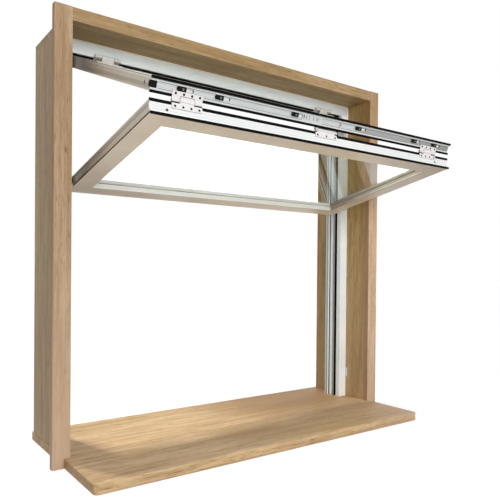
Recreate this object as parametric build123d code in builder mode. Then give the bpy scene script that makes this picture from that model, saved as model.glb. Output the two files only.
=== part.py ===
from build123d import *
import math
import os

# Fold-up concession window: an oak box frame with a counter board, an aluminium frame inside it,
# and two glazed sashes hinged to each other and to the head, shown partly folded outward.
# X runs along the window, -Y points out to the customer, Z is up.
# The origin is the middle of the front plane, at the underside of the counter.

os.makedirs("parts", exist_ok=True)

# Oak box
frame_width = 1200
frame_height = 1176
casing_width = 46
casing_head_width = 35
casing_thickness = 18
lining_thickness = 16
lining_depth = 260
oak_ease = 2
counter_thickness = 26
counter_overhang = 213
counter_nosing = 16
counter_corner = 14

# Aluminium frame, measured from the front plane and from the lining
alu_setback = 112
jamb_lip = 17
jamb_slot = 11.5
jamb_slot_depth = 14
jamb_recess = 18
jamb_recess_depth = 4
jamb_rear_lip = 8
stop_width = 15
stop_rise = 8
stop_seal_depth = 1.5
stop_seal_width = 3
slot_liner = 1.2
jamb_face = 35
head_face = 38
head_rebate = 8
head_front = 13
seal_width = 7
seal_drop = 4
sealant_top = 3
sealant_side = 6
sealant_proud = 1.5

# Sashes
sash_thickness = 30
sash_length = 531
sash_clearance = 6
member_width = 52
rebate_width = 14
exterior_reveal = 14
sash_top_inset = 15.1
sash_top_drop = 4.5
glass_thickness = 6
glass_bite = 10
open_angle = 21

# Seals and strips on the sash edges
edge_seal_width = 6
edge_seal_depth = 3
edge_seal_proud = 2.5
side_seal_width = 2
side_seal_depth = 1.5
side_groove_width = 1.5
side_groove_depth = 1.5
side_groove_margin = 5
channel_width = 15
channel_depth = 5
strip_thickness = 2
cover_thickness = 4.4
strip_groove_width = 1
strip_groove_depth = 0.8

# Sliding lock on the upper sash
cam_block_length = 22
cam_block_width = 10
cam_block_height = 3.4
cam_row_rise = 1.7
cam_roller_radius = 2.7
cam_roller_height = 0.8
cam_roller_offset = 3
cam_slot_length = 18
cam_slot_width = 6
cam_slot_offset = 21
end_cap_length = 17
end_cap_proud = 2
end_cap_round = 5
plug_length = 6
gearbox_length = 66
gearbox_height = 1.5
gearbox_gap = 15
cam_end_distance = 74
cam_second_distance = 170
cam_middle_pitch = 226
cam_middle_offset = -7

# Hinges
hinge_length = 76
hinge_middle = 35
hinge_gauge = 2.3
hinge_hole_pitch = 20
hinge_hole_radius = 2.3
hinge_hole_sides = 12
hinge_corner = 2.5
hinge_pin_radius = 1.7
hinge_fit = 0.3
knuckle_gap = 1.2
fold_gap = 5
fold_pivot_drop = 8
fold_knuckle_radius = 3.4
fold_tab_reach = 6.2
fold_tab_round = 4
fold_upper_far = 11.4
fold_lower_far = 10.6
fold_upper_holes = 6.6
fold_lower_holes = 5.1
fold_hinge_shift = -5
fold_middle_spot = -9.5
fold_middle_knuckle = 62
fold_middle_pitch = 30.5
inner_leaf_near = -1.5
inner_leaf_width = 20
inner_web = 3
head_knuckle_radius = 5
head_pivot_gap = 0.5
head_pivot_lift = 3
head_frame_leaf = 12
head_sash_leaf = 20
hinge_edge_distance = 95

# Guide pins of the lower sash
guide_from_end = 25
guide_bay = 60
guide_from_face = 7
guide_plate_length = 40
guide_plate_width = 16
guide_plate_gauge = 2
guide_radius = 4.5
guide_reach = 9

# Lock keep on the right jamb
keep_height = 34
keep_width = 11
keep_gauge = 2
keep_corner = 2
keep_level = 119

# Sizes that follow from those above
half_frame = frame_width / 2
half_opening = half_frame - casing_width
lining_outside = half_opening + lining_thickness
lining_back = casing_thickness + lining_depth
lining_middle = casing_thickness + lining_depth / 2
soffit = frame_height - casing_head_width
head_underside = soffit - head_face
alu_depth = jamb_lip + jamb_slot + jamb_recess + jamb_rear_lip + stop_width
alu_back = alu_setback + alu_depth
track_depth = alu_setback + jamb_lip + (jamb_slot - slot_liner) / 2
half_daylight = half_opening - jamb_face
half_sash = half_daylight - sash_clearance
glass_level = sash_thickness - exterior_reveal - glass_thickness


def direction(angle):
    """Unit vector in the Y-Z plane, as (y, z), at that angle above the +Y direction."""
    return math.cos(math.radians(angle)), math.sin(math.radians(angle))


def moved(point, along, distance):
    return point[0] + along[0] * distance, point[1] + along[1] * distance


def sash_plane(corner, along, outward):
    """Plane of a sash's interior face: local +X along the window, local -Y along the sash, +Z outward."""
    return Plane(origin=(0, corner[0], corner[1]), x_dir=(1, 0, 0), z_dir=(0, outward[0], outward[1]))


# Where the sashes stand: the upper one hangs under the head, the lower one's guide pin is on the track
upper_along = direction(180 + open_angle)
upper_out = direction(90 + open_angle)
upper_top = (alu_setback + sash_top_inset, head_underside - sash_top_drop)
upper_corner = moved(upper_top, upper_out, -sash_thickness)
fold_pivot = moved(moved(upper_corner, upper_along, sash_length + fold_gap / 2), upper_out, -fold_pivot_drop)
guide_run = sash_length + fold_gap / 2 - guide_from_end
guide_rise = fold_pivot_drop + sash_thickness - guide_from_face
guide_arm = math.hypot(guide_run, guide_rise)
guide_swing = math.degrees(math.acos((track_depth - fold_pivot[0]) / guide_arm))
lower_angle = guide_swing - math.degrees(math.atan2(guide_rise, guide_run))
lower_along = direction(-lower_angle)
lower_out = direction(-90 - lower_angle)
lower_corner = moved(moved(fold_pivot, lower_along, fold_gap / 2), lower_out, fold_pivot_drop)
upper_plane = sash_plane(upper_corner, upper_along, upper_out)
lower_plane = sash_plane(lower_corner, lower_along, lower_out)


def finish(part, name):
    part.label = name
    export_step(part, f"parts/{name}.step")


# Counter board, let in between the linings' outer faces and run through the wall
with BuildPart() as oak_counter:
    with BuildSketch(Plane.XY):
        with Locations((0, (lining_back + counter_nosing - counter_overhang) / 2)):
            Rectangle(2 * lining_outside, lining_back + counter_nosing + counter_overhang)
    extrude(amount=counter_thickness)
    front_corners = oak_counter.edges().filter_by(Axis.Z).group_by(Axis.Y)[0]
    fillet(front_corners, counter_corner)
    front_of_casing = lambda edge: edge.center().Y < -oak_ease
    for face in (oak_counter.faces().sort_by(Axis.Z)[0], oak_counter.faces().sort_by(Axis.Z)[-1]):
        chamfer(face.edges().filter_by(front_of_casing), oak_ease)
finish(oak_counter.part, "oak_counter")


# Linings: two stand on the counter and carry the head lining
def lining(side):
    with BuildPart() as board:
        with BuildSketch(Plane.XY.offset(counter_thickness)):
            with Locations((side * (half_opening + lining_thickness / 2), lining_middle)):
                Rectangle(lining_thickness, lining_depth)
        extrude(amount=soffit - counter_thickness)
    return board.part


finish(lining(-1), "oak_lining_left")
finish(lining(1), "oak_lining_right")
with BuildPart() as oak_lining_head:
    with BuildSketch(Plane.XY.offset(soffit)):
        with Locations((0, lining_middle)):
            Rectangle(2 * lining_outside, lining_depth)
    extrude(amount=lining_thickness)
finish(oak_lining_head.part, "oak_lining_head")


# Casings: the side ones run full height and are notched over the counter, the head one butts between them
def casing(side):
    with BuildPart() as board:
        with BuildSketch(Plane.XZ):
            with BuildLine():
                Polyline((side * half_frame, 0), (side * half_frame, frame_height),
                         (side * half_opening, frame_height), (side * half_opening, counter_thickness),
                         (side * lining_outside, counter_thickness), (side * lining_outside, 0), close=True)
            make_face()
        extrude(amount=-casing_thickness)
        front = board.faces().sort_by(Axis.Y)[0]
        outer_side = (side * half_frame, 0, frame_height / 2)
        chamfer(front.edges().sort_by_distance(outer_side)[0], oak_ease)
    return board.part


finish(casing(-1), "casing_left")
finish(casing(1), "casing_right")
with BuildPart() as casing_head:
    with BuildSketch(Plane.XZ):
        with Locations((0, soffit + casing_head_width / 2)):
            Rectangle(2 * half_opening, casing_head_width)
    extrude(amount=-casing_thickness)
    chamfer(casing_head.edges().filter_by(Axis.X).sort_by(Axis.Y)[:2].sort_by(Axis.Z)[-1], oak_ease)
finish(casing_head.part, "casing_head")


# Aluminium jambs: a front lip, the guide slot, a shallow recess, a rear lip and the sash stop
def alu_jamb(side):
    def at(rise, depth):
        return side * (half_opening - rise), alu_setback + depth
    slot_floor = jamb_face - jamb_slot_depth
    slot_back = jamb_lip + jamb_slot
    recess_floor = jamb_face - jamb_recess_depth
    recess_back = slot_back + jamb_recess
    stop_front = recess_back + jamb_rear_lip
    with BuildPart() as jamb:
        with BuildSketch(Plane.XY.offset(counter_thickness)):
            with BuildLine():
                Polyline(at(0, 0), at(jamb_face, 0), at(jamb_face, jamb_lip), at(slot_floor, jamb_lip),
                         at(slot_floor, slot_back), at(recess_floor, slot_back),
                         at(recess_floor, recess_back), at(jamb_face, recess_back),
                         at(jamb_face, stop_front), at(jamb_face + stop_rise, stop_front),
                         at(jamb_face + stop_rise, alu_depth), at(0, alu_depth), close=True)
            make_face()
        extrude(amount=head_underside - counter_thickness)
    return jamb.part


finish(alu_jamb(-1), "frame_jamb_left")
finish(alu_jamb(1), "frame_jamb_right")

# Aluminium head: front lip, hinge rebate and sash stop
with BuildPart() as frame_head:
    stop_front = alu_back - stop_width
    with BuildSketch(Plane.YZ.offset(-half_opening)):
        with BuildLine():
            Polyline((alu_setback, soffit), (alu_setback, head_underside),
                     (alu_setback + head_front, head_underside),
                     (alu_setback + head_front, head_underside + head_rebate),
                     (stop_front, head_underside + head_rebate), (stop_front, head_underside),
                     (alu_back, head_underside), (alu_back, soffit), close=True)
        make_face()
    extrude(amount=2 * half_opening)
finish(frame_head.part, "frame_head")


# Bead of sealant round the head's front face, along the head lining and down both linings
with BuildPart() as head_sealant:
    with BuildSketch(Plane.XZ.offset(-alu_setback)):
        with Locations((0, (soffit + head_underside) / 2)):
            Rectangle(2 * half_opening, head_face)
        with Locations((0, (soffit + head_underside - sealant_top) / 2)):
            Rectangle(2 * (half_opening - sealant_side), head_face - sealant_top, mode=Mode.SUBTRACT)
    extrude(amount=sealant_proud)
finish(head_sealant.part, "head_sealant")

# Frame seals: on each jamb's stop, in each guide slot, and under the head's front lip, broken at the hinges
hinge_spots = [-half_sash + hinge_edge_distance, half_sash - hinge_edge_distance]
fold_spots = [spot + fold_hinge_shift for spot in hinge_spots]
hinge_bay = hinge_length + 2 * hinge_fit
with BuildPart() as frame_seals:
    stop_face = alu_back - stop_width
    liner_middle = alu_setback + jamb_lip + jamb_slot - slot_liner / 2
    for side in (-1, 1):
        with BuildSketch(Plane.XY.offset(counter_thickness)):
            with Locations((side * (half_daylight - stop_seal_width / 2), stop_face - stop_seal_depth / 2)):
                Rectangle(stop_seal_width, stop_seal_depth)
            with Locations((side * (half_daylight + jamb_slot_depth / 2), liner_middle)):
                Rectangle(jamb_slot_depth, slot_liner)
        extrude(amount=head_underside - counter_thickness)
    with BuildSketch(Plane.XZ.offset(-alu_setback - head_front)):
        with Locations((0, head_underside - seal_drop / 2)):
            Rectangle(2 * half_sash, seal_drop)
        with Locations([(spot, head_underside - seal_drop / 2) for spot in hinge_spots]):
            Rectangle(hinge_bay, seal_drop, mode=Mode.SUBTRACT)
    extrude(amount=seal_width)
finish(frame_seals.part, "frame_seals")


# Sash members are mitred: full depth at the edge, with a rebate for the glass inside the exterior lip
def mitred(half_run, near, far, turn, length):
    """Outline of one member in the sash plane, between two distances from the sash edge."""
    if turn == "head":
        return [(-half_run + near, -near), (half_run - near, -near),
                (half_run - far, -far), (-half_run + far, -far)]
    if turn == "foot":
        return [(-half_run + near, near - length), (half_run - near, near - length),
                (half_run - far, far - length), (-half_run + far, far - length)]
    side = -1 if turn == "left" else 1
    return [(side * (half_run - near), -near), (side * (half_run - near), near - length),
            (side * (half_run - far), far - length), (side * (half_run - far), -far)]


def outline_face(plane, outline):
    with BuildSketch(plane) as face:
        with BuildLine():
            Polyline(*outline, close=True)
        make_face()
    return face.sketch


def sash_member(plane, turn, fold_edge):
    """One rail or stile; the channel runs along the whole fold edge, through the mitres."""
    with BuildPart() as member:
        deep = mitred(half_sash, 0, member_width - rebate_width, turn, sash_length)
        lip = mitred(half_sash, 0, member_width, turn, sash_length)
        extrude(outline_face(plane, deep), amount=sash_thickness)
        extrude(outline_face(plane.offset(sash_thickness - exterior_reveal), lip), amount=exterior_reveal)
        with BuildSketch(plane.offset((sash_thickness - channel_width) / 2)):
            with Locations((0, fold_edge)):
                Rectangle(2 * half_sash, 2 * channel_depth)
        extrude(amount=channel_width, mode=Mode.SUBTRACT)
        for level in (side_groove_margin, sash_thickness - side_groove_margin - side_groove_width):
            with BuildSketch(plane.offset(level)):
                with Locations((-half_sash, -sash_length / 2), (half_sash, -sash_length / 2)):
                    Rectangle(2 * side_groove_depth, sash_length)
            extrude(amount=side_groove_width, mode=Mode.SUBTRACT)
    return member.part


def sash_beads(plane):
    """Four glazing beads on the interior side."""
    with BuildPart() as beads:
        for turn in ("head", "foot", "left", "right"):
            outline = mitred(half_sash, member_width - rebate_width, member_width, turn, sash_length)
            extrude(outline_face(plane, outline), amount=glass_level)
    return beads.part


def sash_glass(plane):
    reach = member_width - glass_bite
    with BuildPart() as pane:
        with BuildSketch(plane.offset(glass_level)):
            with Locations((0, -sash_length / 2)):
                Rectangle(2 * (half_sash - reach), sash_length - 2 * reach)
        extrude(amount=glass_thickness)
    return pane.part


def fold_seals(plane, fold_edge, hinge_breaks):
    """Black seals along the fold edge, standing proud of both faces; the interior one stops at the hinges."""
    outward = 1 if fold_edge == 0 else -1
    middle = fold_edge + outward * edge_seal_depth / 2
    with BuildPart() as seals:
        with BuildSketch(plane.offset(sash_thickness + edge_seal_proud - edge_seal_width)):
            with Locations((0, middle)):
                Rectangle(2 * half_sash, edge_seal_depth)
        extrude(amount=edge_seal_width)
        with BuildSketch(plane.offset(-edge_seal_proud)):
            with Locations((0, middle)):
                Rectangle(2 * half_sash, edge_seal_depth)
            with Locations([(spot, middle) for spot in hinge_breaks]):
                Rectangle(hinge_bay, edge_seal_depth, mode=Mode.SUBTRACT)
        extrude(amount=edge_seal_width)
    return seals.part


def side_seals(plane):
    """Thin seals down the side edges of the lower sash, as far as the guide pins."""
    side_length = sash_length - guide_bay
    with BuildPart() as seals:
        with BuildSketch(plane.offset(sash_thickness - side_seal_width)):
            for side in (-1, 1):
                with Locations((side * (half_sash + side_seal_depth / 2), -side_length / 2)):
                    Rectangle(side_seal_depth, side_length)
        extrude(amount=side_seal_width)
    return seals.part


upper_edge = -sash_length
lower_edge = 0
stiles = {"left": "left_stile", "right": "right_stile"}
upper_members = {"head": "top_rail", "foot": "meeting_rail"} | stiles
lower_members = {"head": "meeting_rail", "foot": "bottom_rail"} | stiles
for turn, name in upper_members.items():
    finish(sash_member(upper_plane, turn, upper_edge), f"upper_sash_{name}")
for turn, name in lower_members.items():
    finish(sash_member(lower_plane, turn, lower_edge), f"lower_sash_{name}")
for sash, plane in (("upper", upper_plane), ("lower", lower_plane)):
    finish(sash_beads(plane), f"{sash}_sash_beads")
    finish(sash_glass(plane), f"{sash}_sash_glass")
finish(fold_seals(upper_plane, upper_edge, fold_spots), "upper_sash_seals")
with BuildPart() as lower_sash_seals:
    add(fold_seals(lower_plane, lower_edge, [*fold_spots, fold_middle_spot]))
    add(side_seals(lower_plane))
finish(lower_sash_seals.part, "lower_sash_seals")


# Planes of the hinged edges: local +Y runs from the interior to the exterior face, +Z points off the edge
upper_fold_plane = Plane(upper_plane.from_local_coords((0, upper_edge, 0)),
                         x_dir=(1, 0, 0), z_dir=(0, upper_along[0], upper_along[1]))
lower_fold_plane = Plane(lower_plane.from_local_coords((0, lower_edge, 0)),
                         x_dir=(-1, 0, 0), z_dir=(0, -lower_along[0], -lower_along[1]))
mid_edge = sash_thickness / 2
channel_floor = -channel_depth
strip_face = channel_floor + strip_thickness
cam_row = mid_edge + cam_row_rise
cap_end = end_cap_length - end_cap_proud - half_sash


def edge_strip(plane, start, end, thickness):
    """Strip on the channel's floor, with a fine groove along each side."""
    with BuildPart() as strip:
        with BuildSketch(plane.offset(channel_floor)):
            with Locations(((start + end) / 2, mid_edge)):
                Rectangle(end - start, channel_width)
        extrude(amount=thickness)
        with BuildSketch(plane.offset(channel_floor + thickness)):
            with Locations(((start + end) / 2, mid_edge)):
                with GridLocations(1, channel_width / 2, 1, 2):
                    Rectangle(end - start, strip_groove_width)
        extrude(amount=-strip_groove_depth, mode=Mode.SUBTRACT)
    return strip.part


# Lock in the upper sash's fold edge: a sliding strip, cam blocks with rollers, a gearbox and an end cap
lock_row = [cam_end_distance - half_sash, cam_second_distance - half_sash,
            cam_middle_offset - cam_middle_pitch / 2, cam_middle_offset + cam_middle_pitch / 2,
            half_sash - cam_second_distance, half_sash - cam_end_distance]
gearbox_spot = lock_row[2] + (cam_block_length + gearbox_length) / 2 + gearbox_gap
with BuildPart() as lock_strip:
    add(edge_strip(upper_fold_plane, cap_end, half_sash, strip_thickness))
    with BuildSketch(upper_fold_plane.offset(channel_floor)):
        with Locations([(spot + cam_slot_offset, cam_row) for spot in lock_row]):
            SlotOverall(cam_slot_length, cam_slot_width)
    extrude(amount=strip_thickness, mode=Mode.SUBTRACT)
finish(lock_strip.part, "lock_strip")
with BuildPart() as lock_cam_blocks:
    with BuildSketch(upper_fold_plane.offset(strip_face)):
        for spot in lock_row:
            with Locations((spot, cam_row)):
                SlotOverall(cam_block_length, cam_block_width)
            with Locations((spot + cam_block_length / 4, cam_row)):
                Rectangle(cam_block_length / 2, cam_block_width)
    extrude(amount=cam_block_height)
finish(lock_cam_blocks.part, "lock_cam_blocks")
with BuildPart() as lock_rollers:
    with BuildSketch(upper_fold_plane.offset(strip_face + cam_block_height)):
        with Locations([(spot + cam_roller_offset, cam_row) for spot in lock_row]):
            Circle(cam_roller_radius)
    extrude(amount=cam_roller_height)
finish(lock_rollers.part, "lock_rollers")
with BuildPart() as lock_gearbox:
    with BuildSketch(upper_fold_plane.offset(strip_face)):
        with Locations((gearbox_spot, mid_edge)):
            Rectangle(gearbox_length, channel_width)
    extrude(amount=gearbox_height)
finish(lock_gearbox.part, "lock_gearbox")
with BuildPart() as upper_sash_edge_caps:
    with BuildSketch(upper_fold_plane.offset(channel_floor)) as cap_outline:
        with Locations((cap_end - end_cap_length / 2, mid_edge)):
            Rectangle(end_cap_length, channel_width)
        fillet(cap_outline.vertices().group_by(Axis.X)[0], end_cap_round)
    extrude(amount=channel_depth)
finish(upper_sash_edge_caps.part, "upper_sash_edge_caps")

# The lower sash's fold edge has a cover strip with a plug at each end
plug_start = half_sash - plug_length
finish(edge_strip(lower_fold_plane, -plug_start, plug_start, cover_thickness), "lower_sash_edge_strip")
with BuildPart() as lower_sash_edge_caps:
    with BuildSketch(lower_fold_plane.offset(channel_floor)):
        for side in (-1, 1):
            with Locations((side * (half_sash - plug_length / 2), mid_edge)):
                Rectangle(plug_length, channel_width)
    extrude(amount=cover_thickness)
finish(lower_sash_edge_caps.part, "lower_sash_edge_caps")

# Hinge knuckles are barrels along X; a leaf owns either the two outer ones or the middle one
def outer_spans(middle):
    start = middle / 2 + knuckle_gap
    return [(-hinge_length / 2, -start), (start, hinge_length / 2)]


def middle_span(middle):
    return [(-middle / 2, middle / 2)]


def barrels(pivot, radius, spots, spans):
    with BuildPart() as row:
        for spot in spots:
            for start, end in spans:
                with BuildSketch(Plane.YZ.offset(spot + start)):
                    with Locations(pivot):
                        Circle(radius)
                extrude(amount=end - start)
    return row.part


def rods(pivot, radius, spots):
    """Round bars of a hinge's length: the pins, and the bores they run in."""
    return barrels(pivot, radius, spots, [(-hinge_length / 2, hinge_length / 2)])


bore_radius = hinge_pin_radius + hinge_fit


def leaf_outline(near, far, spans, tab_end, tab_round, hole_level, hole_count, hole_pitch):
    """One leaf: a plate with rounded far corners, screw holes, and a tab on each knuckle it owns."""
    with BuildSketch() as plate:
        with Locations((0, (near + far) / 2)):
            Rectangle(hinge_length, far - near)
        fillet(plate.vertices().group_by(Axis.Y)[-1], hinge_corner)
        for start, end in spans:
            with BuildSketch(mode=Mode.PRIVATE) as tab:
                with Locations(((start + end) / 2, (near + tab_end) / 2)):
                    Rectangle(end - start, near - tab_end)
                if tab_round:
                    tips = tab.vertices().group_by(Axis.Y)[0]
                    fillet([v for v in tips if abs(v.X) < hinge_length / 2 - tab_round], tab_round)
            add(tab.sketch)
        with Locations((0, hole_level)):
            with GridLocations(hole_pitch, 1, hole_count, 1):
                RegularPolygon(hinge_hole_radius, hinge_hole_sides, mode=Mode.SUBTRACT)
    return plate.sketch


def leaves(plane, outline, pivot, radius, spots, spans):
    """A row of equal leaves on one plane, with their knuckles."""
    with BuildPart() as row:
        with BuildSketch(plane):
            with Locations([(plane.x_dir.X * spot, 0) for spot in spots]):
                add(outline)
        extrude(amount=hinge_gauge)
        add(barrels(pivot, radius, spots, spans))
        add(rods(pivot, bore_radius, spots), mode=Mode.SUBTRACT)
    return row.part


# Fold hinges: flat tabs reach past the pivot, and the leaves of the two sashes lock into each other.
# The middle hinge has a long lower knuckle, and its upper leaf lies on the upper sash's interior face.
near = fold_tab_reach - fold_pivot_drop
tab_end = -fold_tab_reach - fold_pivot_drop
outer, middle = outer_spans(hinge_middle), middle_span(hinge_middle)
short, long = outer_spans(fold_middle_knuckle), middle_span(fold_middle_knuckle)
upper_outline = leaf_outline(near, fold_upper_far, outer, tab_end, fold_tab_round,
                             fold_upper_holes, 4, hinge_hole_pitch)
lower_outline = leaf_outline(near, fold_lower_far, middle, tab_end, fold_tab_round,
                             fold_lower_holes, 4, hinge_hole_pitch)
long_outline = leaf_outline(near, fold_lower_far, long, tab_end, fold_tab_round,
                            fold_lower_holes, 3, fold_middle_pitch)
inner_outline = leaf_outline(0, inner_leaf_width, [], 0, 0, inner_leaf_width / 2, 3, fold_middle_pitch)
upper_inner_plane = Plane(upper_fold_plane.origin, x_dir=(-1, 0, 0), z_dir=(0, -upper_out[0], -upper_out[1]))
with BuildPart() as fold_hinge_lower_leaves:
    add(leaves(lower_fold_plane, lower_outline, fold_pivot, fold_knuckle_radius, fold_spots, middle))
    add(leaves(lower_fold_plane, long_outline, fold_pivot, fold_knuckle_radius, [fold_middle_spot], long))
finish(fold_hinge_lower_leaves.part, "fold_hinge_lower_leaves")
with BuildPart() as fold_hinge_upper_leaves:
    add(leaves(upper_fold_plane, upper_outline, fold_pivot, fold_knuckle_radius, fold_spots, outer))
    add(leaves(upper_inner_plane, inner_outline, fold_pivot, fold_knuckle_radius, [fold_middle_spot], short))
    for start, end in short:
        with BuildSketch(upper_inner_plane):
            with Locations(((start + end) / 2 - fold_middle_spot, inner_web / 2)):
                Rectangle(end - start, inner_web)
        extrude(amount=fold_pivot_drop)
    add(rods(fold_pivot, bore_radius, [fold_middle_spot]), mode=Mode.SUBTRACT)
finish(fold_hinge_upper_leaves.part, "fold_hinge_upper_leaves")
finish(rods(fold_pivot, hinge_pin_radius, [*fold_spots, fold_middle_spot]), "fold_hinge_pins")

# Head hinges: knuckles in front of the head's lower edge. The frame leaf lies under the head,
# and the sash leaf stands on the sash's exterior face.
head_pivot = (alu_setback - head_knuckle_radius - head_pivot_gap, head_underside + head_pivot_lift)
reach = (head_pivot[0] - upper_corner[0], head_pivot[1] - upper_corner[1])
pivot_along = reach[0] * upper_along[0] + reach[1] * upper_along[1]
pivot_out = reach[0] * upper_out[0] + reach[1] * upper_out[1]
web_along = pivot_along + head_knuckle_radius - hinge_gauge / 2
leaf_middle = web_along + (head_sash_leaf - hinge_gauge) / 2
frame_leaf_start = alu_setback - head_pivot_gap + hinge_fit
with BuildPart() as head_hinge_sash_leaves:
    for spot in hinge_spots:
        section = Plane(origin=(spot, *upper_corner), x_dir=(0, *upper_along), z_dir=(-1, 0, 0))
        with BuildSketch(section):
            with Locations((leaf_middle, sash_thickness + hinge_gauge / 2)):
                Rectangle(head_sash_leaf, hinge_gauge)
        extrude(amount=hinge_length / 2, both=True)
        with BuildSketch(section):
            with Locations((web_along, (sash_thickness + pivot_out) / 2)):
                Rectangle(hinge_gauge, pivot_out - sash_thickness)
            with Locations((pivot_along, pivot_out)):
                Circle(head_knuckle_radius)
        extrude(amount=hinge_middle / 2, both=True)
        with BuildSketch(Plane(origin=section.from_local_coords((leaf_middle, sash_thickness, 0)),
                               x_dir=(1, 0, 0), z_dir=section.y_dir)):
            with GridLocations(hinge_hole_pitch, 1, 4, 1):
                RegularPolygon(hinge_hole_radius, hinge_hole_sides)
        extrude(amount=hinge_gauge, mode=Mode.SUBTRACT)
    add(rods(head_pivot, bore_radius, hinge_spots), mode=Mode.SUBTRACT)
finish(head_hinge_sash_leaves.part, "head_hinge_sash_leaves")
with BuildPart() as head_hinge_frame_leaves:
    for spot in hinge_spots:
        with BuildSketch(Plane.YZ.offset(spot - hinge_length / 2)):
            with Locations((frame_leaf_start + head_frame_leaf / 2, head_underside - hinge_gauge / 2)):
                Rectangle(head_frame_leaf, hinge_gauge)
        extrude(amount=hinge_length)
        for start, end in outer:
            with BuildSketch(Plane.YZ.offset(spot + start)):
                with Locations(head_pivot):
                    Circle(head_knuckle_radius)
                with Locations(((head_pivot[0] + frame_leaf_start) / 2, head_underside - hinge_gauge / 2)):
                    Rectangle(frame_leaf_start - head_pivot[0], hinge_gauge)
            extrude(amount=end - start)
    add(rods(head_pivot, bore_radius, hinge_spots), mode=Mode.SUBTRACT)
finish(head_hinge_frame_leaves.part, "head_hinge_frame_leaves")
finish(rods(head_pivot, hinge_pin_radius, hinge_spots), "head_hinge_pins")

# Guide pins: a plate on each side of the lower sash near its foot, with a pin in the jamb's slot
with BuildPart() as guide_pins:
    for side in (-1, 1):
        guide_plane = Plane(lower_plane.from_local_coords((side * half_sash, guide_from_end - sash_length,
                                                           sash_thickness - guide_from_face)),
                            x_dir=(0, lower_along[0], lower_along[1]), z_dir=(side, 0, 0))
        with BuildSketch(guide_plane):
            SlotOverall(guide_plate_length, guide_plate_width)
        extrude(amount=guide_plate_gauge)
        with BuildSketch(guide_plane):
            Circle(guide_radius)
        extrude(amount=sash_clearance + guide_reach)
finish(guide_pins.part, "guide_pins")

# Latch keep: a small plate on the right lining, against the aluminium frame
with BuildPart() as latch_keep:
    with BuildSketch(Plane.YZ.offset(half_opening)):
        with Locations((alu_setback - keep_width / 2, keep_level)):
            RectangleRounded(keep_width, keep_height, keep_corner)
    extrude(amount=-keep_gauge)
finish(latch_keep.part, "latch_keep")
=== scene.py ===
import bpy
import bmesh
import math
from mathutils import Matrix, Vector


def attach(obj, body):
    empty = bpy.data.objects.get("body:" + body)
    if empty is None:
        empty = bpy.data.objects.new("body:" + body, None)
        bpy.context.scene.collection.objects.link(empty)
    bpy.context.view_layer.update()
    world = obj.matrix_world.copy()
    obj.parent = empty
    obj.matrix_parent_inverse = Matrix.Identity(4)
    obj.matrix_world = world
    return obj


# Fold-up concession window: camera, materials, the small fittings that the solids leave out, and light.
# Scene lengths are in metres. Sizes in millimetres are those of the part, and say so.

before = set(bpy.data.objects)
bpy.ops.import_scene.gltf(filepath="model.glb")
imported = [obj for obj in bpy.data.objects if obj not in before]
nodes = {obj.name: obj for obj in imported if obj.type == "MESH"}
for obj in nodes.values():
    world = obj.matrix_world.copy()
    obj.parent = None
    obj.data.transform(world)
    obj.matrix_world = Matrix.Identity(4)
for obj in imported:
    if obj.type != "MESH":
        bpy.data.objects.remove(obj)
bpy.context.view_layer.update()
MM = 0.001

# Camera at the photograph's viewing angle, fitted to the straight edges in it
PHOTO_SIZE, FOCAL_PIXELS, RAISE_PIXELS = 500, 559.89, 24.55
SENSOR_WIDTH = 36
CAMERA_SPOT = (-1.0257, -1.4238, 0.5111)
CAMERA_YAW, CAMERA_PITCH, CAMERA_ROLL = 36.039, -0.512, 0.506


def make_camera():
    yaw, pitch, roll = [math.radians(a) for a in (CAMERA_YAW, CAMERA_PITCH, CAMERA_ROLL)]
    ahead = Vector((math.sin(yaw) * math.cos(pitch), math.cos(yaw) * math.cos(pitch), math.sin(pitch)))
    level = Vector((math.cos(yaw), -math.sin(yaw), 0))
    upright = level.cross(ahead)
    side = level * math.cos(roll) + upright * math.sin(roll)
    top = upright * math.cos(roll) - level * math.sin(roll)
    data = bpy.data.cameras.new("camera")
    data.sensor_width = SENSOR_WIDTH
    data.lens = FOCAL_PIXELS / PHOTO_SIZE * SENSOR_WIDTH
    data.shift_y = RAISE_PIXELS / PHOTO_SIZE
    data.clip_start, data.clip_end = 0.02, 60
    cam = bpy.data.objects.new("camera", data)
    turn = Matrix((side, top, -ahead)).transposed().to_4x4()
    cam.matrix_world = Matrix.Translation(CAMERA_SPOT) @ turn
    bpy.context.collection.objects.link(cam)
    bpy.context.scene.camera = cam


make_camera()
bpy.context.scene.view_settings.view_transform = "Standard"


# Where the two sashes stand, in millimetres: each has a corner, a direction along it and one outward
def direction(degrees):
    """Unit vector in the Y, Z plane, turned from +Y towards +Z."""
    a = math.radians(degrees)
    return Vector((0, math.cos(a), math.sin(a)))


SASH_LENGTH, SASH_THICKNESS, HALF_SASH = 531, 30, 513
UPPER_OPEN_ANGLE = 21
HEAD_PIVOT = Vector((0, 127.1, 1098.5))
FOLD_GAP, FOLD_PIN_RISE = 2.5, 8
GUIDE_RUN, GUIDE_RISE, TRACK_DEPTH = 508.5, 31, 134.15

upper_along, upper_out = direction(180 + UPPER_OPEN_ANGLE), direction(90 + UPPER_OPEN_ANGLE)
upper_corner = HEAD_PIVOT - SASH_THICKNESS * upper_out
fold_pivot = upper_corner + (SASH_LENGTH + FOLD_GAP) * upper_along - FOLD_PIN_RISE * upper_out
swing = math.acos((TRACK_DEPTH - fold_pivot.y) / math.hypot(GUIDE_RUN, GUIDE_RISE))
lower_angle = math.degrees(swing - math.atan2(GUIDE_RISE, GUIDE_RUN))
lower_along, lower_out = direction(-lower_angle), direction(-90 - lower_angle)
lower_corner = fold_pivot + FOLD_GAP * lower_along + FOLD_PIN_RISE * lower_out


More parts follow.
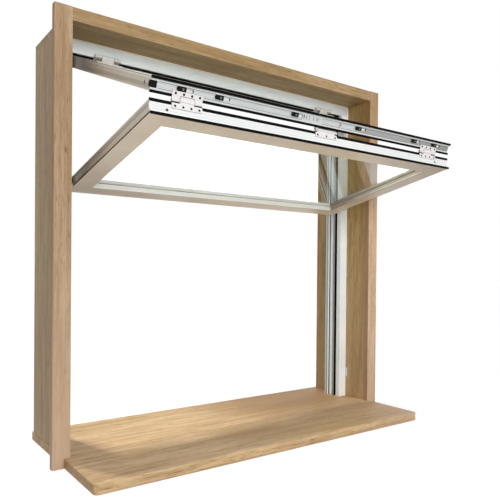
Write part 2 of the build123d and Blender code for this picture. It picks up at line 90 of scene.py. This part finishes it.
# Materials, all procedural, in object coordinates
class Graph:
    """The node tree of a material or a world, with one short call for each kind of node."""

    def __init__(self, owner, output="OutputMaterial"):
        owner.use_nodes = True
        self.owner = owner
        self.tree = owner.node_tree
        self.tree.nodes.clear()
        self.out = self.tree.nodes.new("ShaderNode" + output)

    def put(self, socket, value):
        if isinstance(value, bpy.types.NodeSocket):
            self.tree.links.new(value, socket)
        elif isinstance(value, (tuple, list)) and socket.type == "RGBA":
            socket.default_value = (*value[:3], 1)
        else:
            socket.default_value = value

    def node(self, kind, settings=None, **inputs):
        """A node; an input is given by name, with _ for a space, or as i and its number."""
        n = self.tree.nodes.new("ShaderNode" + kind)
        for key, value in (settings or {}).items():
            setattr(n, key, value)
        for key, value in inputs.items():
            numbered = key[0] == "i" and key[1:].isdigit()
            self.put(n.inputs[int(key[1:]) if numbered else key.replace("_", " ")], value)
        return n

    def math(self, operation, a, b=0.0, c=0.0):
        return self.node("Math", {"operation": operation}, i0=a, i1=b, i2=c).outputs[0]

    def place(self, scale=(1, 1, 1), shift=(0, 0, 0)):
        coord = self.node("TexCoord").outputs["Object"]
        return self.node("Mapping", Vector=coord, Scale=scale, Location=shift).outputs[0]

    def spot(self, axis):
        """Where a point lies along one axis."""
        return self.node("SeparateXYZ", Vector=self.place()).outputs[axis]

    def facing(self, axis):
        """How far the surface looks along one axis, from -1 to 1."""
        normal = self.node("TexCoord").outputs["Normal"]
        return self.node("SeparateXYZ", Vector=normal).outputs[axis]

    def noise(self, where, scale, detail, rough, distortion=0.0):
        return self.node("TexNoise", Vector=where, Scale=scale, Detail=detail, Roughness=rough,
                         Distortion=distortion).outputs["Fac"]

    def remap(self, value, low, high, to_low=0.0, to_high=1.0):
        return self.node("MapRange", i0=value, i1=low, i2=high, i3=to_low, i4=to_high).outputs[0]

    def blend(self, factor, a, b):
        return self.node("Mix", {"data_type": "RGBA"}, i0=factor, i6=a, i7=b).outputs[2]

    def ramp(self, value, *stops):
        n = self.node("ValToRGB", Fac=value)
        elements = n.color_ramp.elements
        while len(elements) < len(stops):
            elements.new(0.5)
        for element, (spot, colour) in zip(elements, stops):
            element.position = spot
            element.color = (*colour, 1)
        return n.outputs[0]

    def bump(self, height, strength, distance=0.0002):
        return self.node("Bump", Height=height, Strength=strength, Distance=distance).outputs[0]

    def peel(self, scale, strength):
        """Bump of a very fine noise, such as a coating's orange peel."""
        return self.bump(self.noise(self.place(), scale, 2, 0.5), strength)

    def seen(self):
        """1 for a ray from the camera, a gloss or a glass, and 0 for one that only carries light."""
        path = self.node("LightPath").outputs
        bounced = self.math("MAXIMUM", path["Is Glossy Ray"], path["Is Transmission Ray"])
        return self.math("MAXIMUM", path["Is Camera Ray"], bounced)

    def finish(self, shader):
        self.tree.links.new(shader.outputs[0], self.out.inputs[0])
        return self.owner

    def surface(self, **inputs):
        return self.finish(self.node("BsdfPrincipled", **inputs))


def material(name):
    return Graph(bpy.data.materials.new(name))


def srgb(r, g, b, gain=1.0, blue=1.0):
    """Scene-linear colour of an sRGB triple in 0 to 255, made darker or lighter, and warmer or cooler."""
    r, g, b = [(c / 255 / 12.92) if c <= 10 else ((c / 255 + 0.055) / 1.055) ** 2.4 for c in (r, g, b)]
    return r * gain, g * gain, b * gain * blue


# The second tone is the dark one that painted shade blends the oak towards
PALE_OAK, SHADED_OAK = srgb(212, 181, 156), srgb(142, 106, 66)


def oak(name, along, seed, gain, blue, sides=0.0, pale=None, top_shade=0.0, patches=()):
    """Oiled oak with its grain along one axis: broad streaks, growth lines, fibres, pores and a few flecks.

    sides is how dark the faces that look sideways are. pale is where a paler tone starts along the
    grain, where it is full, and how strong it is. After pale comes the strength of the painted shade over
    the upper part of the board. Each patch is a scale and shift that put it in place, its tone and its
    strength."""
    g = material(name)

    def stretched(run, cross):
        scale = [cross, cross, cross]
        scale["XYZ".index(along)] = run
        return g.place(tuple(scale), (seed, seed * 1.7, seed * 2.3))

    def tone(*rgb):
        return srgb(*rgb, gain, blue)

    streaks = g.noise(stretched(2.0, 32), 1.0, 4, 0.58, 0.9)
    hue = g.noise(stretched(1.1, 9), 1.0, 2, 0.5)
    lines = g.noise(stretched(5, 150), 1.0, 4, 0.62, 0.6)
    blotch = g.noise(stretched(8, 55), 1.0, 3, 0.6, 0.8)
    fibres = g.noise(stretched(22, 900), 1.0, 2, 0.6)
    pores = g.noise(stretched(32, 520), 1.0, 1, 0.5)
    colour = g.ramp(streaks, (0.34, tone(158, 122, 82)), (0.49, tone(197, 164, 125)),
                    (0.63, tone(216, 186, 148)))
    colour = g.blend(0.38, colour, g.blend(g.remap(hue, 0.38, 0.62), tone(192, 160, 114), tone(210, 174, 144)))
    colour = g.blend(g.remap(blotch, 0.42, 0.64, 0.0, 0.4), colour, tone(162, 126, 86))
    colour = g.blend(g.remap(lines, 0.46, 0.64, 0.0, 0.55), colour, tone(150, 114, 76))
    colour = g.blend(g.remap(fibres, 0.3, 0.75, 0.0, 0.22), colour, tone(222, 195, 158))
    colour = g.blend(g.remap(pores, 0.6, 0.7, 0.0, 0.65), colour, tone(112, 82, 52))
    if pale:
        start, full, strength = pale
        colour = g.blend(g.remap(g.spot(along), start, full, 0.0, strength), colour, PALE_OAK)
    # Painted shade over the upper part of the board, from 0.72 m up
    if top_shade:
        colour = g.blend(g.remap(g.spot("Z"), 0.72, 1.1, 0.0, top_shade), colour, SHADED_OAK)
    for scale, shift, patch_tone, strength in patches:
        away = g.node("VectorMath", {"operation": "LENGTH"}, i0=g.place(scale, shift)).outputs["Value"]
        colour = g.blend(g.remap(away, 1.0, 0.35, 0.0, strength), colour, srgb(*patch_tone))
    # Faces that look sideways are darker: darker end and edge grain, together with painted shade on the sides
    across = g.math("ABSOLUTE", g.facing("X"))
    colour = g.blend(g.remap(across, 0.75, 0.97, 0.0, sides), colour, SHADED_OAK)
    height = g.math("ADD", g.math("MULTIPLY", fibres, 0.6), g.remap(pores, 0.6, 0.74, 0.0, -1.0))
    return g.surface(Base_Color=colour, Roughness=g.remap(streaks, 0.3, 0.7, 0.58, 0.46),
                     Normal=g.bump(height, 0.25, 0.0004), Specular_IOR_Level=0.3)


def painted(name, colour, second, rough=0.34):
    """Satin coated aluminium: a faint orange-peel bump, soft mottling and thin smears in the gloss."""
    g = material(name)
    cloud = g.noise(g.place(), 9, 3, 0.5)
    return g.surface(Base_Color=g.blend(g.remap(cloud, 0.35, 0.65, 0.0, 0.6), colour, second),
                     Roughness=g.remap(cloud, 0.3, 0.7, rough - 0.05, rough + 0.08),
                     Normal=g.peel(900, 0.06))


def head_coating(name):
    """Satin white, a little greyer towards its lower edge and whiter at its top: painted shade and painted
    light.
    """
    g = material(name)
    cloud = g.noise(g.place(), 9, 3, 0.5)
    # Painted shade at the lower edge and painted light at the top
    white = g.blend(g.remap(g.spot("Z"), 1.1, 1.141), srgb(214, 224, 226), srgb(245, 250, 250))
    white = g.blend(g.remap(cloud, 0.35, 0.65, 0.0, 0.4), white, srgb(222, 232, 234))
    return g.surface(Base_Color=white, Roughness=g.remap(cloud, 0.3, 0.7, 0.29, 0.42),
                     Normal=g.peel(900, 0.06))


def jamb_coating(name):
    """Satin white, with painted shade greying the slot and the recess, and a dark line where the stop begins.
    """
    g = material(name)
    cloud = g.noise(g.place(), 9, 3, 0.5)
    white = g.blend(g.remap(cloud, 0.35, 0.65), srgb(249, 254, 255), srgb(241, 247, 250))
    grey = g.blend(g.remap(cloud, 0.35, 0.65), srgb(176, 180, 180), srgb(160, 165, 166))
    # Painted shade greys the recess and the slot; the last grey band is the dark line where the stop begins
    shade_shares = ((0.1, 0), (0.24, 0.8), (0.42, 1), (0.6, 0), (0.74, 0), (0.78, 1), (0.9, 1), (0.94, 0.5))
    recess_shade = g.ramp(g.remap(g.spot("Y"), 0.13, 0.18), *[(y, (share,) * 3) for y, share in shade_shares])
    return g.surface(Base_Color=g.blend(recess_shade, white, grey), Roughness=g.remap(cloud, 0.3, 0.7, 0.3, 0.42),
                     Normal=g.peel(900, 0.06))


def sash_coating(name, outward, corner, warm, cool, shade_from, frame_end=0.0):
    """Satin aluminium: warm grey on the faces and sides, silver white on the faces that look to the front;
    painted light and shade on the warm grey.

    Each side has a shallow channel darkened by painted shade and a pale line of painted highlight next to the
    outer face, and painted shade darkens it towards the frame from shade_from on. frame_end is how creamy the
    front faces next to the frame are."""
    g = material(name)
    cloud = g.noise(g.place(), 7, 3, 0.5)
    drawn = g.noise(g.place((3, 500, 500)), 1.0, 2, 0.5)
    x, y = g.spot("X"), g.spot("Y")

    # Painted light and shade: the faces are palest at two opposite corners and next to the middle of the fold
    # edge, and darkest at the other two corners
    corner_light_and_shade = g.math("MULTIPLY", x, g.remap(y, -0.37, 0.13, 1.0, -1.0))
    tone = g.math("ADD", corner_light_and_shade, g.math("MULTIPLY", g.math("SUBTRACT", cloud, 0.5), 0.5))
    off_middle = g.math("ABSOLUTE", g.math("SUBTRACT", x, 0.06))
    glow = g.math("MULTIPLY", g.remap(off_middle, 0.24, 0.06, 0.0, 0.7), g.remap(y, -0.24, -0.3))
    face = g.blend(g.remap(g.math("SUBTRACT", tone, glow), -0.5, 0.5), *warm)
    front = g.blend(g.remap(drawn, 0.35, 0.65), *cool)
    front = g.blend(g.remap(y, -0.1, 0.0, 0.0, frame_end), front, srgb(255, 251, 244))

    rise = g.node("VectorMath", {"operation": "DOT_PRODUCT"}, i0=g.place(), i1=tuple(outward)).outputs["Value"]
    rise = g.math("SUBTRACT", rise, corner.dot(outward) * MM)
    # Along each side: a channel darkened by painted shade and a pale line of painted highlight
    plain, channel, line = srgb(218, 206, 187), srgb(184, 173, 156), srgb(252, 246, 234)
    side = g.ramp(g.math("MULTIPLY", rise, 1 / (SASH_THICKNESS * MM)), (0.2, plain), (0.25, channel),
                  (0.46, channel), (0.52, plain), (0.77, plain), (0.8, line), (0.91, line), (0.94, channel))
    aside = g.remap(g.math("ABSOLUTE", g.facing("X")), 0.85, 0.95)
    colour = g.blend(aside, face, side)
    # Painted shade darkens the sides towards the frame
    frame_shade = g.math("MULTIPLY", g.remap(y, shade_from, 0.04, 0.0, 0.8), aside)
    colour = g.blend(frame_shade, colour, srgb(132, 116, 98))
    colour = g.blend(g.remap(g.facing("Y"), -0.8, -0.9), colour, front)
    return g.surface(Base_Color=colour, Roughness=g.remap(cloud, 0.3, 0.7, 0.3, 0.42), Metallic=0.1,
                     Normal=g.peel(900, 0.05))


def strip_steel(name):
    """Brushed lock strip: light on the left, greyer with slanted brushing right of the gearbox, and darker
    towards the right end with painted shade.
    """
    g = material(name)
    fine = g.noise(g.place((30, 1100, 1100)), 1.0, 2, 0.6)
    slant = g.node("TexWave", {"bands_direction": "DIAGONAL"}, Vector=g.place(), Scale=150,
                   Distortion=2.0, Detail=2).outputs["Fac"]
    x = g.spot("X")
    light = g.blend(g.remap(fine, 0.3, 0.7), srgb(214, 216, 215), srgb(190, 194, 194))
    grey = g.blend(g.remap(slant, 0.2, 0.8), srgb(146, 146, 145), srgb(184, 184, 182))
    # Painted shade darkens the strip towards its right end
    grey = g.blend(g.remap(x, 0.28, 0.5, 0.0, 0.5), grey, srgb(122, 121, 119))
    return g.surface(Base_Color=g.blend(g.remap(x, 0.115, 0.125), light, grey),
                     Roughness=g.remap(fine, 0.3, 0.7, 0.3, 0.46), Metallic=0.35, Normal=g.bump(fine, 0.1))


def brushed(name, colour, second, along, rough, metal=0.75):
    """Brushed metal: long fine scratches along one axis in colour, roughness and bump."""
    g = material(name)
    scale = [1400, 1400, 1400]
    scale["XYZ".index(along)] = 12
    scratch = g.noise(g.place(tuple(scale)), 1.0, 2, 0.6)
    cloud = g.noise(g.place(), 14, 2, 0.5)
    mix = g.blend(g.remap(scratch, 0.3, 0.7, 0.0, 0.5), colour, second)
    mix = g.blend(g.remap(cloud, 0.4, 0.7, 0.0, 0.25), mix, second)
    return g.surface(Base_Color=mix, Roughness=g.remap(scratch, 0.3, 0.7, rough - 0.06, rough + 0.14),
                     Normal=g.bump(scratch, 0.12), Metallic=metal)


def rubber(name):
    g = material(name)
    cloud = g.noise(g.place(), 60, 3, 0.6)
    return g.surface(Base_Color=g.blend(g.remap(cloud, 0.3, 0.7), srgb(4, 4, 4), srgb(12, 12, 12)),
                     Roughness=g.remap(cloud, 0.3, 0.7, 0.6, 0.76), Specular_IOR_Level=0.05,
                     Normal=g.peel(1500, 0.1))


def moulded(name, colour, second):
    """Moulded or blackened surface: soft mottling under a fine grain."""
    g = material(name)
    cloud = g.noise(g.place(), 80, 3, 0.6)
    return g.surface(Base_Color=g.blend(g.remap(cloud, 0.3, 0.7), colour, second),
                     Roughness=g.remap(cloud, 0.3, 0.7, 0.36, 0.5), Specular_IOR_Level=0.1,
                     Normal=g.peel(2200, 0.08))


def clear_glass(name):
    """Float glass with a slight green tint, which lets the lamps through."""
    g = material(name)
    ripple = g.noise(g.place(), 3, 2, 0.5)
    pane = g.node("BsdfPrincipled", Base_Color=g.blend(ripple, srgb(237, 241, 238), srgb(235, 240, 237)),
                  Roughness=0.0, IOR=1.3, Transmission_Weight=1.0)
    film = g.node("BsdfTransparent", Color=srgb(236, 241, 238))
    shadow = g.node("LightPath").outputs["Is Shadow Ray"]
    return g.finish(g.node("MixShader", i0=shadow, i1=pane.outputs[0], i2=film.outputs[0]))


def assign(look, *names):
    for name in names:
        slots = nodes[name].material_slots
        if not slots:
            nodes[name].data.materials.append(look)
        for slot in slots:
            slot.link = "OBJECT"
            slot.material = look


# The first patch is painted shade over the counter's back right corner; the second is a browner patch in the
# middle of the front
counter_tone_and_shade_patches = (((2.3, 2.8, 0), (-0.72, -0.62, 0), (146, 108, 60), 0.7),
                   ((4.2, 8, 0), (0, 0.8, 0), (166, 130, 78), 0.6))
casing_knot = ((250, 0, 90), (142.5, 0, -73), (118, 84, 54), 0.75)
assign(oak("oak counter", "X", 3.1, 1.09, 0.9, 0.45, (0.25, 0.62, 0.6), patches=counter_tone_and_shade_patches),
       "oak_counter")
# The head lining's oak is darker than the other boards: painted shade under the head
assign(oak("oak head lining in painted shade", "X", 7.7, 0.64, 0.82), "oak_lining_head")
assign(oak("oak head casing", "X", 11.3, 0.755, 0.87), "casing_head")
assign(oak("oak left casing", "Z", 5.9, 0.8, 1.0, 0.6, (0.6, 0.05, 0.6), 0.1, (casing_knot,)),
       "casing_left")
assign(oak("oak right casing", "Z", 13.7, 1.19, 1.1, 0.6, (0.75, 0.05, 0.4), 0.5), "casing_right")
assign(oak("oak left lining", "Z", 17.2, 0.7, 0.85), "oak_lining_left")
assign(oak("oak right lining", "Z", 21.4, 0.86, 0.7, 0.0, (0.75, 0.05, 0.25), 0.25), "oak_lining_right")

assign(jamb_coating("white coating"), "frame_jamb_left", "frame_jamb_right")
assign(head_coating("head coating"), "frame_head")
assign(painted("sealant", srgb(252, 244, 224), srgb(244, 234, 212), 0.5), "head_sealant")

# Warm tones, a lit and a shaded one for the painted light and shade, and cool tones of the sashes and their
# beads, where painted shade darkens the sides, and the creamy share
upper_tones = ((srgb(228, 215, 196), srgb(198, 181, 158)), (srgb(230, 231, 230), srgb(214, 217, 218)), -0.12)
lower_tones = ((srgb(250, 235, 210), srgb(182, 163, 134)), (srgb(250, 251, 249), srgb(243, 244, 243)), -0.16,
               1.0)
bead_tones = ((srgb(208, 204, 186), srgb(160, 152, 132)), (srgb(226, 222, 218), srgb(214, 211, 206)), -0.16)
for sash, outward, corner, tones, rails in (
        ("upper", upper_out, upper_corner, upper_tones, ("top_rail", "meeting_rail")),
        ("lower", lower_out, lower_corner, lower_tones, ("meeting_rail", "bottom_rail"))):
    assign(sash_coating(f"{sash} sash coating", outward, corner, *tones),
           *[f"{sash}_sash_{n}" for n in ("left_stile", "right_stile", *rails)])
    assign(sash_coating(f"{sash} bead coating", outward, corner, *bead_tones), f"{sash}_sash_beads")

assign(rubber("black rubber"), "frame_seals", "upper_sash_seals", "lower_sash_seals")
assign(moulded("black nylon", srgb(8, 8, 9), srgb(18, 18, 20)), "lock_cam_blocks", "upper_sash_edge_caps")
assign(strip_steel("brushed strip"), "lock_strip", "lock_gearbox")
assign(painted("cover coating", srgb(236, 238, 237), srgb(229, 231, 231), 0.3),
       "lower_sash_edge_strip", "lower_sash_edge_caps")
assign(brushed("roller steel", srgb(120, 120, 118), srgb(82, 82, 82), "Y", 0.3), "lock_rollers")
assign(brushed("plated steel", srgb(224, 224, 224), srgb(186, 188, 190), "Y", 0.26), "guide_pins", "latch_keep")
hinge_steel = brushed("satin hinge steel", srgb(233, 229, 228), srgb(219, 214, 214), "X", 0.4, 0.1)
assign(hinge_steel, "fold_hinge_upper_leaves", "fold_hinge_lower_leaves")
assign(brushed("dull hinge steel", srgb(214, 213, 208), srgb(190, 189, 186), "X", 0.42, 0.1),
       "head_hinge_frame_leaves", "head_hinge_sash_leaves")
assign(brushed("pin steel", srgb(150, 146, 144), srgb(110, 108, 106), "X", 0.35),
       "fold_hinge_pins", "head_hinge_pins")
assign(clear_glass("clear glass"), "upper_sash_glass", "lower_sash_glass")
dark_steel = moulded("blackened steel", srgb(10, 10, 11), srgb(22, 21, 22))


# Small fittings on the two sash edges that meet at the fold, in millimetres: X along the edge, Y across
# it from the fold, and a height above the sash's end face
def local(origin, *axes):
    """From millimetres along three axes at an origin to metres in the scene."""
    turn = Matrix(axes).transposed().to_4x4()
    return Matrix.Scale(MM, 4) @ Matrix.Translation(origin) @ turn


X_AXIS = Vector((1, 0, 0))
upper_edge = local(upper_corner + SASH_LENGTH * upper_along, X_AXIS, upper_out, upper_along)
lower_edge = local(lower_corner, X_AXIS, lower_out, -lower_along)
STRIP_FACE, GEARBOX_FACE, COVER_FACE, HINGE_FACE = -3, -1.5, -0.6, 2.3
OUTER_HINGES, MIDDLE_HINGE, HALF_HINGE = (-423, 413), -9.5, 38
TURNED_SIDES, CORNER_STEPS, ARC_STEPS = 16, 4, 8
SUNK = 0.4


def put_piece(name, bm, look):
    bmesh.ops.recalc_face_normals(bm, faces=bm.faces)
    mesh = bpy.data.meshes.new(name)
    bm.to_mesh(mesh)
    bm.free()
    mesh.materials.append(look)
    obj = bpy.data.objects.new(name, mesh)
    bpy.context.collection.objects.link(obj)
    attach(obj, "root")


def skin(bm, place, rings):
    """A closed form over rings of points, from the first ring to the last."""
    rows = [[bm.verts.new(place @ Vector(p)) for p in ring] for ring in rings]
    for a, b in zip(rows, rows[1:]):
        for k in range(len(a)):
            bm.faces.new((a[k], a[(k + 1) % len(a)], b[(k + 1) % len(a)], b[k]))
    bm.faces.new(rows[0])
    bm.faces.new(rows[-1])


def screw(bm, place, spot, face, r):
    """Countersunk head of radius r with a cross recess, a little below the face round it.

    Each ring has a height and one radius, or several that repeat round it."""
    rings = []
    for height, *radii in ((face - 1.2, 0.6 * r), (face - 0.35, r), (face - 0.15, 0.93 * r),
                           (face - 0.12, 0.8 * r), (face - 0.14, 0.62 * r, 0.2 * r, 0.2 * r, 0.2 * r),
                           (face - 0.9, 0.36 * r, 0.12 * r, 0.12 * r, 0.12 * r)):
        ring = []
        for k in range(TURNED_SIDES):
            angle, radius = 2 * math.pi * k / TURNED_SIDES, radii[k % len(radii)]
            ring.append((spot[0] + radius * math.cos(angle), spot[1] + radius * math.sin(angle), height))
        rings.append(ring)
    skin(bm, place, rings)


def slab(bm, place, outline, low, high):
    """A flat form: an outline pushed from one height to another, with a small eased top edge."""
    cx = sum(p[0] for p in outline) / len(outline)
    cy = sum(p[1] for p in outline) / len(outline)
    skin(bm, place, [[(cx + (x - cx) * keep, cy + (y - cy) * keep, height) for x, y in outline]
                     for height, keep in ((low, 1.0), (high - 0.1, 1.0), (high, 0.96))])


def rounded(x, y, length, width, radius):
    """Outline of a rectangle with round corners."""
    points = []
    for quarter, (sx, sy) in enumerate(((1, 1), (-1, 1), (-1, -1), (1, -1))):
        for k in range(CORNER_STEPS + 1):
            a = math.radians(90 * (quarter + k / CORNER_STEPS))
            points.append((x + sx * (length / 2 - radius) + radius * math.cos(a),
                           y + sy * (width / 2 - radius) + radius * math.sin(a)))
    return points


def arc_band(x, y, radius, width, start, end):
    """Outline of a curved band between two angles."""
    angles = [math.radians(start + (end - start) * k / ARC_STEPS) for k in range(ARC_STEPS + 1)]
    outer = [(x + radius * math.cos(a), y + radius * math.sin(a)) for a in angles]
    inner = [(x + (radius - width) * math.cos(a), y + (radius - width) * math.sin(a))
             for a in reversed(angles)]
    return outer + inner


def make_screws():
    """Screws of the fold hinges' leaves, and of the lower sash's cover strip."""
    bm = bmesh.new()
    proud, hinge_radius, cover_radius = HINGE_FACE + 0.45, 2.8, 3.2
    upper_row, lower_row, cover_row = 6.6, 5.1, 16.8
    for hinge in OUTER_HINGES:
        for x in (-30, -10, 10, 30):
            screw(bm, upper_edge, (hinge + x, upper_row), proud, hinge_radius)
            screw(bm, lower_edge, (hinge + x, lower_row), proud, hinge_radius)
    for x in (-30.5, 0, 30.5):
        screw(bm, lower_edge, (MIDDLE_HINGE + x, lower_row), proud, hinge_radius)
    for x in (-472, 449):
        screw(bm, lower_edge, (x, cover_row), COVER_FACE + 0.5, cover_radius)
    put_piece("hinge_screws", bm, dark_steel)


def make_hinge_joint_shades():
    """Painted shadow: a dark slab along the gap that winds between the two leaves of a fold hinge, and the tab
    that closes it above.
    """
    joint_shade, tab = bmesh.new(), bmesh.new()
    outer_knuckle, middle_knuckle = 17.5, 31
    # The dark slabs stand for the shadow in the gaps between the leaves
    for hinge, half in (*[(x, outer_knuckle) for x in OUTER_HINGES], (MIDDLE_HINGE, middle_knuckle)):
        if half == outer_knuckle:
            slab(joint_shade, upper_edge, rounded(hinge, -2.1, 2 * half + 1.8, 8.8, 2.6),
                 HINGE_FACE - 0.5, HINGE_FACE + 0.1)
            slab(tab, upper_edge, rounded(hinge, -2.5, 2 * half, 7.6, 2.2), HINGE_FACE - 0.4, HINGE_FACE + 0.9)
        for side in (-1, 1):
            middle, length = side * (half + HALF_HINGE) / 2 + side * 0.6, HALF_HINGE - half - 1.2
            slab(joint_shade, lower_edge, rounded(hinge + middle, -3, length, 4.2, 0.5), 0.4, HINGE_FACE - 0.1)
    put_piece("hinge_joint_shades", joint_shade, dark_steel)
    put_piece("hinge_tabs", tab, hinge_steel)


def make_strip_marks():
    """End stops of the cam slots, the gearbox's slots and joints, and dark lines of painted shadow along the
    channel's edges.
    """
    bm = bmesh.new()

    def mark(outline, face, proud):
        slab(bm, upper_edge, outline, face - SUNK, face + proud)

    for cam in (-439, -343, -120, 106, 343, 439):
        mark(arc_band(cam + 26.5, 16.7, 4.2, 1.5, -62, 62), STRIP_FACE, 0.5)
    for x, y, length, width in ((-89.8, 16.5, 2.2, 7.5), (-81.9, 16, 1.2, 8.5), (-71.9, 16, 1.2, 8.5),
                                (-58.1, 16, 1.1, 8), (-46.5, 16, 1.2, 8), (-42.5, 15.5, 1.2, 7)):
        mark(rounded(x, y, length, width, 0.5), GEARBOX_FACE, 0.15)
    mark(arc_band(-92, 17.5, 4, 1.6, -40, 80), GEARBOX_FACE, 0.15)
    for x in (-36.8, 36.6):
        mark(rounded(x, 15, 0.9, 13, 0.3), STRIP_FACE, 0.2)
    mark(rounded(40.5, 16, 2.4, 5.5, 0.8), STRIP_FACE, 0.4)
    # Painted shadow along the two edges of the channel
    for y in (7.9, 22.1):
        mark(rounded(9, y, 1002, 0.8, 0.3), STRIP_FACE, 0.15)
    put_piece("strip_marks", bm, dark_steel)


def make_side_slots():
    """The mouth of the side bolt in each side of the upper sash."""
    bm = bmesh.new()
    for side in (-1, 1):
        origin = Vector((side * HALF_SASH, 0, 0)) + upper_corner
        place = local(origin, upper_along, upper_out, Vector((side, 0, 0)))
        slab(bm, place, rounded(502, 14, 3.4, 9.5, 1.6), -0.5, 0.25)
    put_piece("bolt_mouths", bm, dark_steel)


make_screws()
make_hinge_joint_shades()
make_strip_marks()
make_side_slots()


# Floor, world and lamps. Floor and world look white to the camera, in gloss and through glass
def make_floor():
    g = material("floor")
    white_share = 0.68
    plain = g.node("BsdfDiffuse", Color=(0.5, 0.5, 0.5))
    glow = g.node("Emission", Color=(1, 1, 1), Strength=1.32)
    look = g.finish(g.node("MixShader", i0=g.math("MULTIPLY", g.seen(), white_share),
                           i1=plain.outputs[0], i2=glow.outputs[0]))
    mesh = bpy.data.meshes.new("floor")
    bm = bmesh.new()
    bmesh.ops.create_circle(bm, cap_ends=True, segments=96, radius=26)
    bm.to_mesh(mesh)
    bm.free()
    mesh.materials.append(look)
    floor = bpy.data.objects.new("floor", mesh)
    floor.location = (0, 0, -0.0006)
    bpy.context.collection.objects.link(floor)


def make_world():
    world = bpy.data.worlds.new("studio")
    bpy.context.scene.world = world
    g = Graph(world, "OutputWorld")
    through_glass = g.node("LightPath").outputs["Is Transmission Ray"]
    light = g.node("Background", Color=(1, 1, 1), Strength=0.38)
    white = g.node("Background", Color=(1, 1, 1), Strength=g.math("MULTIPLY_ADD", through_glass, 0.7, 1.0))
    g.finish(g.node("MixShader", i0=g.seen(), i1=light.outputs[0], i2=white.outputs[0]))


def lamp(name, kind, place, aim, energy, **settings):
    data = bpy.data.lights.new(name, kind)
    data.energy = energy
    for key, value in settings.items():
        setattr(data, key, value)
    obj = bpy.data.objects.new(name, data)
    obj.location = place
    obj.rotation_mode = "QUATERNION"
    obj.rotation_quaternion = (Vector(aim) - Vector(place)).to_track_quat("-Z", "Y")
    bpy.context.collection.objects.link(obj)


make_floor()
make_world()
lamp("room light", "SUN", (-0.5, 0.996, 4), (0, 0, 0), 1.1, angle=math.radians(2.5))
lamp("window light", "SPOT", (-0.8, 1.16, 4), (-0.33, 0.2, 0), 252,
     spot_size=math.radians(19), spot_blend=1.0, shadow_soft_size=0.08)
lamp("front light", "AREA", (-0.8, -4.3, 1.8), (0, 0, 0.6), 120, size=1.6)
